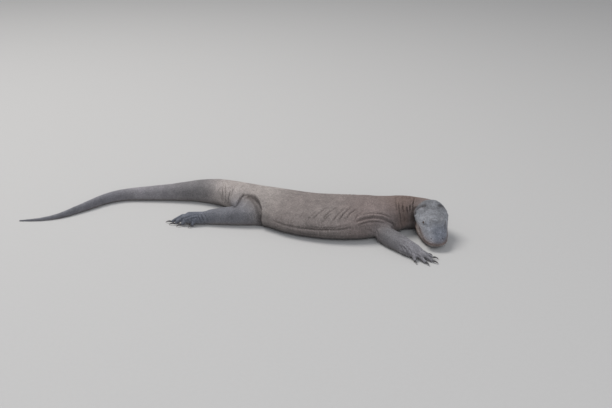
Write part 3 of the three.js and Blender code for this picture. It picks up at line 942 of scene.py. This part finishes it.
LIMB_PARTS = {"arm": ("upper_arm", "forearm", "hand"), "leg": ("thigh", "shin", "foot")}
COAT_PIECES = {
    "tail": (("tail_tip", "tail_end", "tail_middle", "tail_front"), "", "body_hide"),
    "hips": (("tail_base", "pelvis"), "", "body_hide"),
    "trunk": (("belly",), "", "body_hide"),
    "chest": (("chest",), "", "body_hide"),
    "neck": (("neck",), "", "body_hide"),
    "head": (HEAD_NODES, "", "head_hide"),
    "arm_left": (LIMB_PARTS["arm"], "left", "limb_hide"),
    "arm_right": (LIMB_PARTS["arm"], "right", "limb_hide"),
    "leg_left": (LIMB_PARTS["leg"], "left", "limb_hide"),
    "leg_right": (LIMB_PARTS["leg"], "right", "limb_hide"),
}


def close_pairs(points, reach):
    """Each pair of points that are closer than reach, found in cells of that size: a point's own cell and
    half of those round it, so that no pair comes twice."""
    cells = np.floor(points / reach).astype(np.int64)
    cells -= cells.min(0) - 1
    spans = cells.max(0) + 2
    keys = (cells[:, 0] * spans[1] + cells[:, 1]) * spans[2] + cells[:, 2]
    order = np.argsort(keys, kind="stable")
    ranked = keys[order]
    pairs = []
    steps = list(itertools.product((-1, 0, 1), repeat=3))
    for x, y, z in steps[len(steps) // 2:]:
        wanted = keys + (x * spans[1] + y) * spans[2] + z
        start = np.searchsorted(ranked, wanted, "left")
        count = np.searchsorted(ranked, wanted, "right") - start
        first = np.repeat(np.arange(len(points)), count)
        step = np.arange(len(first)) - np.repeat(np.cumsum(count) - count, count)
        second = order[np.repeat(start, count) + step]
        if (x, y, z) == (0, 0, 0):
            first, second = first[first < second], second[first < second]
        near = ((points[first] - points[second]) ** 2).sum(1) < reach ** 2
        pairs.append(np.column_stack([first[near], second[near]]))
    return np.concatenate(pairs)


def thinned(points, room, rank):
    """Which points stay when none may have a better ranked one closer than the mean of their rooms."""
    first, second = close_pairs(points, room.max()).T
    gap = np.linalg.norm(points[first] - points[second], axis=1)
    near = gap < (room[first] + room[second]) / 2
    first, second = first[near], second[near]
    swap = rank[first] > rank[second]
    better, worse = np.where(swap, second, first), np.where(swap, first, second)
    alive = np.ones(len(points), bool)
    settled = np.zeros(len(points), bool)
    while True:
        live = alive[better] & alive[worse]
        challenged = np.zeros(len(points), bool)
        challenged[worse[live]] = True
        winners = alive & ~challenged & ~settled
        if not winners.any():
            return np.flatnonzero(alive)
        settled |= winners
        alive[worse[live & winners[better]]] = False


def at_steps(places, steps, values):
    """Rows of values at places between the steps."""
    return np.stack([np.interp(places, steps, column) for column in values.T], -1)


def ring_seeds(line, tree, size_at, reach):
    """Places of scales in rings round a line inside the body, half a step on from ring to ring."""
    tangents = unit(np.gradient(line, axis=0))
    steps = np.concatenate([[0], np.cumsum(np.linalg.norm(np.diff(line, axis=0), axis=1))])
    turns = np.linspace(0, 2 * math.pi, RING_RAYS + 1)[:-1]
    seeds = []
    along, number = 0.0, 0
    while along < steps[-1]:
        middle = Vector(at_steps(along, steps, line))
        forward = unit(at_steps(along, steps, tangents))
        side = unit(np.cross(forward, (0, 0, 1)))
        up = np.cross(side, forward)
        size = size_at(along / steps[-1]) * MM
        rays = [Vector(math.cos(turn) * side + math.sin(turn) * up) for turn in turns]
        hits = [tree.ray_cast(middle, ray, reach)[0] for ray in rays]
        ring = [hit for hit in hits if hit is not None]
        if len(ring) > FEWEST_HITS:
            ring = np.array(ring + ring[:1])
            around = np.concatenate([[0], np.cumsum(np.linalg.norm(np.diff(ring, axis=0), axis=1))])
            count = max(SIDES, round(around[-1] / size))
            places = (np.arange(count) + 0.5 * (number % 2)) / count * around[-1]
            seeds.append(at_steps(places, around, ring))
        along += ROW_STEP * size
        number += 1
    return np.concatenate(seeds)


def random_seeds(fields, triangles, generator, share):
    """Places over the whole skin, in numbers that follow the scales' size there."""
    corners = fields.points[triangles]
    area = np.linalg.norm(np.cross(corners[:, 1] - corners[:, 0], corners[:, 2] - corners[:, 0]), axis=1) / 2
    size = fields.size[triangles].mean(1)
    wanted = share * area / size ** 2
    chosen = generator.choice(len(triangles), int(wanted.sum()), p=wanted / wanted.sum())
    across, along = generator.random((2, len(chosen), 1))
    folded = across + along > 1
    across, along = np.where(folded, 1 - across, across), np.where(folded, 1 - along, along)
    start, second, third = corners[chosen].transpose(1, 0, 2)
    return start + across * (second - start) + along * (third - start)


class Roots:
    """Where the scales stand, with what the skin says there."""

    def __init__(self, fields, triangles, tree):
        self.fields, self.triangles, self.tree = fields, triangles, tree

    def settle(self, points):
        """Puts the points on the skin and reads the skin's fields there."""
        found = [self.tree.find_nearest(point) for point in points]
        self.points = np.array([hit[0] for hit in found])
        corners = self.triangles[np.array([hit[2] for hit in found])]
        offset = ((self.fields.points[corners] - self.points[:, None]) ** 2).sum(-1)
        weight = 1 / (offset + 1e-8)
        weight /= weight.sum(1, keepdims=True)
        self.nearest = corners[np.arange(len(corners)), offset.argmin(1)]
        self.normals = unit((self.fields.normals[corners] * weight[..., None]).sum(1))
        self.size = (self.fields.size[corners] * weight).sum(1)

    def keep(self, chosen):
        for name in ("points", "nearest", "normals", "size"):
            setattr(self, name, getattr(self, name)[chosen])

    def thin(self, packing):
        """Drops the later one of each two scales that are too close."""
        self.keep(thinned(self.points, packing * self.size, np.arange(len(self.points))))

    def relax(self):
        """Moves each scale away from those that crowd it."""
        first, second = close_pairs(self.points, self.size.max()).T
        offset = self.points[first] - self.points[second]
        gap = np.maximum(np.linalg.norm(offset, axis=1), 1e-6)
        wanted = (self.size[first] + self.size[second]) / 2
        push = (PUSH * np.clip(wanted - gap, 0, None) / gap)[:, None] * offset
        moved = np.zeros_like(self.points)
        np.add.at(moved, first, push)
        np.add.at(moved, second, -push)
        moved -= (moved * self.normals).sum(1, keepdims=True) * self.normals
        self.settle(self.points + moved)

    def fill_gaps(self):
        """Makes each scale as large as its neighbours leave room for."""
        first, second = close_pairs(self.points, NEIGHBOUR_REACH * self.size.max()).T
        ratio = np.linalg.norm(self.points[first] - self.points[second], axis=1)
        ratio /= (self.size[first] + self.size[second]) / 2
        near = ratio < NEIGHBOUR_REACH
        ends = np.concatenate([first[near], second[near]])
        count = np.bincount(ends, minlength=len(self.points))
        total = np.bincount(ends, np.tile(ratio[near], 2), len(self.points))
        self.size = self.size * np.clip(total / np.maximum(count, 1), *SIZE_CHANGE)


def scale_roots(fields, mesh, spine):
    """The places of all scales: rings along head and body first, then random ones where there is room."""
    triangles = triangles_of(mesh)
    tree = tree_of(fields.points, triangles)
    roots = Roots(fields, triangles, tree)
    generator = np.random.default_rng(SEED)
    sizes = [SCALE_SIZES[name] for name in RING_SIZES]
    body = ring_seeds(spine, tree, lambda share: np.interp(share, RING_SHARES, sizes), BODY_REACH)
    head = ring_seeds(head_line(0, 0.96, 40), tree, lambda share: SCALE_SIZES["head"], HEAD_REACH)
    roots.points = np.concatenate([head, body])
    for share, rounds in FILLINGS:
        roots.settle(np.concatenate([roots.points, random_seeds(fields, triangles, generator, share)]))
        roots.thin(PACKING)
        for _ in range(rounds):
            roots.relax()
    roots.thin(CLOSEST)
    roots.keep(~fields.bare[roots.nearest])
    roots.fill_gaps()
    return roots


def scale_faces():
    """The triangles of one scale: two for each side of its slope, and one on its crown."""
    faces = []
    for side in range(SIDES):
        after = (side + 1) % SIDES
        faces.append((side, after, SIDES + after))
        faces.append((side, SIDES + after, SIDES + side))
        faces.append((SIDES + side, SIDES + after, 2 * SIDES))
    return np.array(faces)


def scale_mesh(name, points, normals, lie, size, places):
    """One mesh of domed scales, with the bake's map: a small patch for each scale at its place."""
    count = len(points)
    turns = 2 * math.pi * np.arange(SIDES) / SIDES
    ring = np.column_stack([STRETCH * np.cos(turns), np.sin(turns)])
    shape = np.vstack([
        np.column_stack([OUTLINE[0] * ring, np.full(SIDES, OUTLINE[1])]),
        np.column_stack([SHOULDER[0] * ring + (SHOULDER_LEAN, 0), np.full(SIDES, SHOULDER[1])]),
        [(CROWN[0], 0, CROWN[1])],
    ])
    across = unit(np.cross(normals, lie))
    axes = np.stack([np.cross(across, normals), across, normals], 1)
    vertices = points[:, None] + size[:, None, None] * np.einsum("vk,nkc->nvc", shape, axes)
    vertices[..., 2] = np.maximum(vertices[..., 2], 0)
    corners = (np.arange(count)[:, None, None] * VERTICES_EACH + scale_faces()).reshape(-1, 3)
    mesh = bpy.data.meshes.new(name)
    mesh.vertices.add(count * VERTICES_EACH)
    mesh.vertices.foreach_set("co", vertices.astype(np.float32).ravel())
    mesh.loops.add(corners.size)
    mesh.loops.foreach_set("vertex_index", corners.astype(np.int32).ravel())
    mesh.polygons.add(len(corners))
    mesh.polygons.foreach_set("loop_start", np.arange(0, corners.size, 3, dtype=np.int32))
    mesh.update(calc_edges=True)
    flat = places[:, None] + PATCH * shape[:, :2]
    unwrapped = mesh.uv_layers.new(name="OFBake")
    unwrapped.data.foreach_set("uv", flat.reshape(-1, 2)[corners.ravel()].astype(np.float32).ravel())
    return mesh


def places_on_unwrap(along, around):
    """Places from 0 to 1 on an unwrap cut along the belly: rows along the part, evenly filled round it."""
    count = len(along)
    rows_along = max(2, round(math.sqrt(count)))
    places = np.empty((count, 2))
    for row, members in enumerate(np.array_split(np.argsort(along, kind="stable"), rows_along)):
        members = members[np.argsort(around[members], kind="stable")]
        places[members, 0] = (np.arange(len(members)) + 0.5) / len(members)
        places[members, 1] = (row + 0.5) / rows_along
    return UNWRAP_EDGE + (1 - 2 * UNWRAP_EDGE) * places


def round_line(points, line):
    """How far along the line each point is, in its steps, and its angle round it from straight down."""
    index = nearest_on_line(points, line)
    tangents = unit(np.gradient(line, axis=0))[index]
    side = unit(np.cross(tangents, (0, 0, 1)))
    up = np.cross(side, tangents)
    offset = points - line[index]
    along = index + (offset * tangents).sum(1) / SPINE_STEP
    return along, np.arctan2((offset * side).sum(1), -(offset * up).sum(1))


def line_through(parts, side, spine):
    """The line that a piece of the coat is unwrapped round."""
    if side:
        return through([centre(f"{part}_{side}") for part in parts], SPINE_STEP)
    return head_line(-0.1, 1, 48) if parts == HEAD_NODES else spine


def add_coat(fields, mesh, spine):
    """The coat in pieces, each a stretch of the body with its own unwrap."""
    roots = scale_roots(fields, mesh, spine)
    kinds = KINDS[fields.owner[roots.nearest]]
    sides = BODY_SIDES[fields.owner[roots.nearest]]
    material = hide_material("scale_hide", True)
    generator = np.random.default_rng(SEED + 1)
    speckle = np.where(np.isin(kinds, (*HEAD_NODES, "hand", "foot")), *SPECKLE)
    fine = 1 + speckle * generator.standard_normal(len(roots.points)).clip(-2, 2)
    tint = fields.tint[roots.nearest] * fine[:, None]
    lie = fields.lie[roots.nearest]
    lie = unit(lie - (lie * roots.normals).sum(1, keepdims=True) * roots.normals)
    for name, (parts, side, slot) in COAT_PIECES.items():
        chosen = np.flatnonzero(np.isin(kinds, parts) & (sides == side))
        along, around = round_line(roots.points[chosen], line_through(parts, side, spine))
        order = np.argsort(along, kind="stable")
        own = chosen[order]
        places = places_on_unwrap(along[order], around[order])
        stands = roots.points[own], roots.normals[own], lie[own], roots.size[own]
        piece = scale_mesh(f"coat_{name}", *stands, places)
        add_piece(f"coat_{name}", piece, np.repeat(tint[own], VERTICES_EACH, 0), material)


# ---------------------------------------------------------------- materials

# How dark the skin is between the scales.
SKIN_SHADE = 0.66


class Nodes:
    """A material with short calls for its nodes, placed by position and coloured by the attribute tint."""

    def __init__(self, name):
        self.material = bpy.data.materials.new(name)
        self.material.use_nodes = True
        self.tree = self.material.node_tree
        self.shader = self.tree.nodes["Principled BSDF"]
        self.place = self.add("NewGeometry").outputs["Position"]

    def add(self, kind, **inputs):
        node = self.tree.nodes.new(f"ShaderNode{kind}")
        for name, value in inputs.items():
            self.put(node.inputs[name.replace("_", " ")], value)
        return node

    def put(self, socket, value):
        if isinstance(value, bpy.types.NodeSocket):
            self.tree.links.new(value, socket)
        else:
            socket.default_value = value

    def surface(self, **values):
        """Sets or links sockets of the shader."""
        for name, value in values.items():
            self.put(self.shader.inputs[name.replace("_", " ")], value)

    def tint(self):
        node = self.add("Attribute")
        node.attribute_name = "tint"
        return node.outputs["Color"]

    def noise(self, scale, detail=3, roughness=0.55):
        settings = {"Scale": scale, "Detail": detail, "Roughness": roughness}
        return self.add("TexNoise", Vector=self.place, **settings).outputs["Fac"]

    def range(self, value, low, high, to_low, to_high):
        limits = {"From_Min": low, "From_Max": high, "To_Min": to_low, "To_Max": to_high}
        return self.add("MapRange", Value=value, **limits).outputs["Result"]

    def scaled(self, colour, factor):
        node = self.add("VectorMath", Vector=colour)
        node.operation = "SCALE"
        self.put(node.inputs["Scale"], factor)
        return node.outputs[0]

    def bump(self, height, strength, distance):
        return self.add("Bump", Height=height, Strength=strength, Distance=distance).outputs["Normal"]


def hide_material(name, is_scales):
    """Dusty hide: its markings with fine mottling, matte, and granules between the scales."""
    nodes = Nodes(name)
    patches = nodes.range(nodes.noise(26), 0.3, 0.7, 0.86, 1.14)
    grain = nodes.range(nodes.noise(240, 4, 0.7), 0.25, 0.75, 0.82, 1.18)
    colour = nodes.scaled(nodes.scaled(nodes.tint(), patches), grain)
    if is_scales:
        relief = nodes.bump(nodes.noise(700, 4, 0.7), 0.35, 0.4 * MM)
    else:
        colour = nodes.scaled(colour, SKIN_SHADE)
        granules = nodes.add("TexVoronoi", Vector=nodes.place, Scale=620.0).outputs["Distance"]
        relief = nodes.bump(granules, 0.5, 0.6 * MM)
    roughness = nodes.range(nodes.noise(60), 0.3, 0.7, 0.62, 0.86)
    nodes.surface(Base_Color=colour, Roughness=roughness, Specular_IOR_Level=0.32, Normal=relief)
    return nodes.material


def eye_material():
    """Wet eye: iris and pupil under a clear coat."""
    nodes = Nodes("eye")
    colour = nodes.scaled(nodes.tint(), nodes.range(nodes.noise(900), 0.3, 0.7, 0.75, 1.25))
    roughness = nodes.range(nodes.noise(300), 0.3, 0.7, 0.1, 0.22)
    relief = nodes.bump(nodes.noise(500), 0.05, 0.1 * MM)
    nodes.surface(Base_Color=colour, Roughness=roughness, Normal=relief, Coat_Weight=0.8, Coat_Roughness=0.05)
    return nodes.material


def claw_material():
    """Dusty dark horn with streaks."""
    nodes = Nodes("claw_horn")
    streaks = nodes.noise(380, 5, 0.7)
    colour = nodes.scaled(nodes.tint(), nodes.range(streaks, 0.3, 0.7, 0.78, 1.2))
    roughness = nodes.range(nodes.noise(90), 0.3, 0.7, 0.42, 0.7)
    nodes.surface(Base_Color=colour, Roughness=roughness, Normal=nodes.bump(streaks, 0.4, 0.3 * MM))
    return nodes.material


def floor_material():
    """Pale matte floor with a faint grain."""
    nodes = Nodes("floor")
    grain = nodes.noise(60)
    colour = nodes.scaled(FLOOR_COLOUR, nodes.range(grain, 0, 1, 0.98, 1.02))
    roughness = nodes.range(nodes.noise(5), 0, 1, 0.85, 0.95)
    nodes.surface(Base_Color=colour, Roughness=roughness, Normal=nodes.bump(grain, 0.05, 0.5 * MM))
    return nodes.material


# ---------------------------------------------------------------- eyes and claws

CLAW_VOXEL = 0.8 * MM
CLAW_SMOOTHING = 150.0
CLAW_PALE = 14 * MM
CLAW_ROOT_COLOUR = (62, 60, 62)
CLAW_TIP_COLOUR = (112, 108, 106)

# The eyeball in shares of its radius: how much of the solid's it has, and the edges of pupil and iris.
BALL_SHARE = 0.985
EYE_RINGS = 48
PUPIL = 0.24
IRIS = 0.62
STREAKS = 0.22
PUPIL_COLOUR = (10, 8, 8)
IRIS_COLOUR = (70, 48, 30)
EYE_EDGE_COLOUR = (38, 30, 26)


def add_claws():
    """Each claw as a smooth horn in place of its faceted solid."""
    material = claw_material()
    for name in NODES:
        if "claw" not in name:
            continue
        solid = NODES[name].data
        mesh = remeshed(coordinates(solid), triangles_of(solid), CLAW_VOXEL)
        neighbours = Neighbours(mesh)
        points = neighbours.smoothed(coordinates(mesh), np.full(neighbours.count, CLAW_SMOOTHING))
        points[:, 2] = np.maximum(points[:, 2], 0)
        set_coordinates(mesh, points)
        paw = centre(name[:name.index("_claw")])
        tip = points[np.argmax(np.linalg.norm(points - paw, axis=1))]
        pale = smoothstep(np.linalg.norm(points - tip, axis=1), CLAW_PALE, 2 * MM)[:, None]
        tint = linear(CLAW_ROOT_COLOUR) + pale * (linear(CLAW_TIP_COLOUR) - linear(CLAW_ROOT_COLOUR))
        claw = add_piece(f"{name}_horn", mesh, tint, material)
        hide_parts(name)


def eye_tint(ball):
    """Colours of a ball of radius 1 whose pupil is up: pupil, iris with streaks, and the dark rest."""
    spread = np.hypot(ball[:, 0], ball[:, 1])
    angle = np.arctan2(ball[:, 1], ball[:, 0])
    streaks = 1 + STREAKS * np.sin(23 * angle) * np.sin(9 * angle + 4 * spread)
    tint = linear(IRIS_COLOUR) * streaks[:, None]
    edge = smoothstep(spread, IRIS - 0.06, IRIS + 0.04)[:, None]
    tint += edge * (linear(EYE_EDGE_COLOUR) - tint)
    pupil = (1 - smoothstep(spread, PUPIL - 0.04, PUPIL + 0.03))[:, None]
    tint += pupil * (linear(PUPIL_COLOUR) - tint)
    return np.where(ball[:, 2:] > 0, tint, linear(EYE_EDGE_COLOUR))


def add_eyes(eyes):
    """Round eyeballs that look out of the lids' opening."""
    material = eye_material()
    for name, (middle, radius, outward, long, short) in eyes.items():
        work = bmesh.new()
        bmesh.ops.create_uvsphere(work, u_segments=2 * EYE_RINGS, v_segments=EYE_RINGS, radius=1)
        mesh = bpy.data.meshes.new(name)
        work.to_mesh(mesh)
        work.free()
        ball = coordinates(mesh)
        set_coordinates(mesh, middle + BALL_SHARE * radius * (ball @ np.array([long, short, outward])))
        eyeball = add_piece(f"{name}_ball", mesh, eye_tint(ball), material)
        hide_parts(name)


# ---------------------------------------------------------------- light and floor

FLOOR_COLOUR = (0.46, 0.455, 0.45)
FLOOR_REACH = 40

# Soft round lights that face the origin: name, place, size, power and colour; and the world's colour.
LIGHTS = [
    ("key", (-4.0, 2.4, 8.4), 5.2, 680, (1, 0.98, 0.95)),
    ("fill", (2.0, -14.0, 8.0), 12.0, 1600, (0.92, 0.95, 1)),
]
WORLD_COLOUR = (0.86, 0.88, 0.92, 1)
WORLD_STRENGTH = 0.38


def add_floor():
    """A plain pale floor that reaches past every view."""
    mesh = bpy.data.meshes.new("floor")
    corners = [(-1, -1), (1, -1), (1, 1), (-1, 1)]
    mesh.from_pydata([(FLOOR_REACH * x, FLOOR_REACH * y, 0) for x, y in corners], [], [(0, 1, 2, 3)])
    mesh.materials.append(floor_material())
    floor = bpy.data.objects.new("floor", mesh)
    bpy.context.scene.collection.objects.link(floor)


def add_light():
    """Soft studio light, and a pale world round it."""
    for name, place, size, power, colour in LIGHTS:
        data = bpy.data.lights.new(name, "AREA")
        data.shape = "DISK"
        data.size = size
        data.energy = power
        data.color = colour
        light = bpy.data.objects.new(name, data)
        light.location = place
        light.rotation_euler = (-Vector(place)).to_track_quat("-Z", "Y").to_euler()
        bpy.context.scene.collection.objects.link(light)
    world = bpy.data.worlds.new("studio")
    world.use_nodes = True
    background = world.node_tree.nodes["Background"]
    background.inputs["Color"].default_value = WORLD_COLOUR
    background.inputs["Strength"].default_value = WORLD_STRENGTH
    bpy.context.scene.world = world
    bpy.context.scene.view_settings.view_transform = "Standard"


add_camera()
add_light()
add_floor()
spine = spine_curve()
skin, fields = make_skin(spine)
add_coat(fields, skin.data, spine)
add_eyes(fields.eyes)
add_claws()
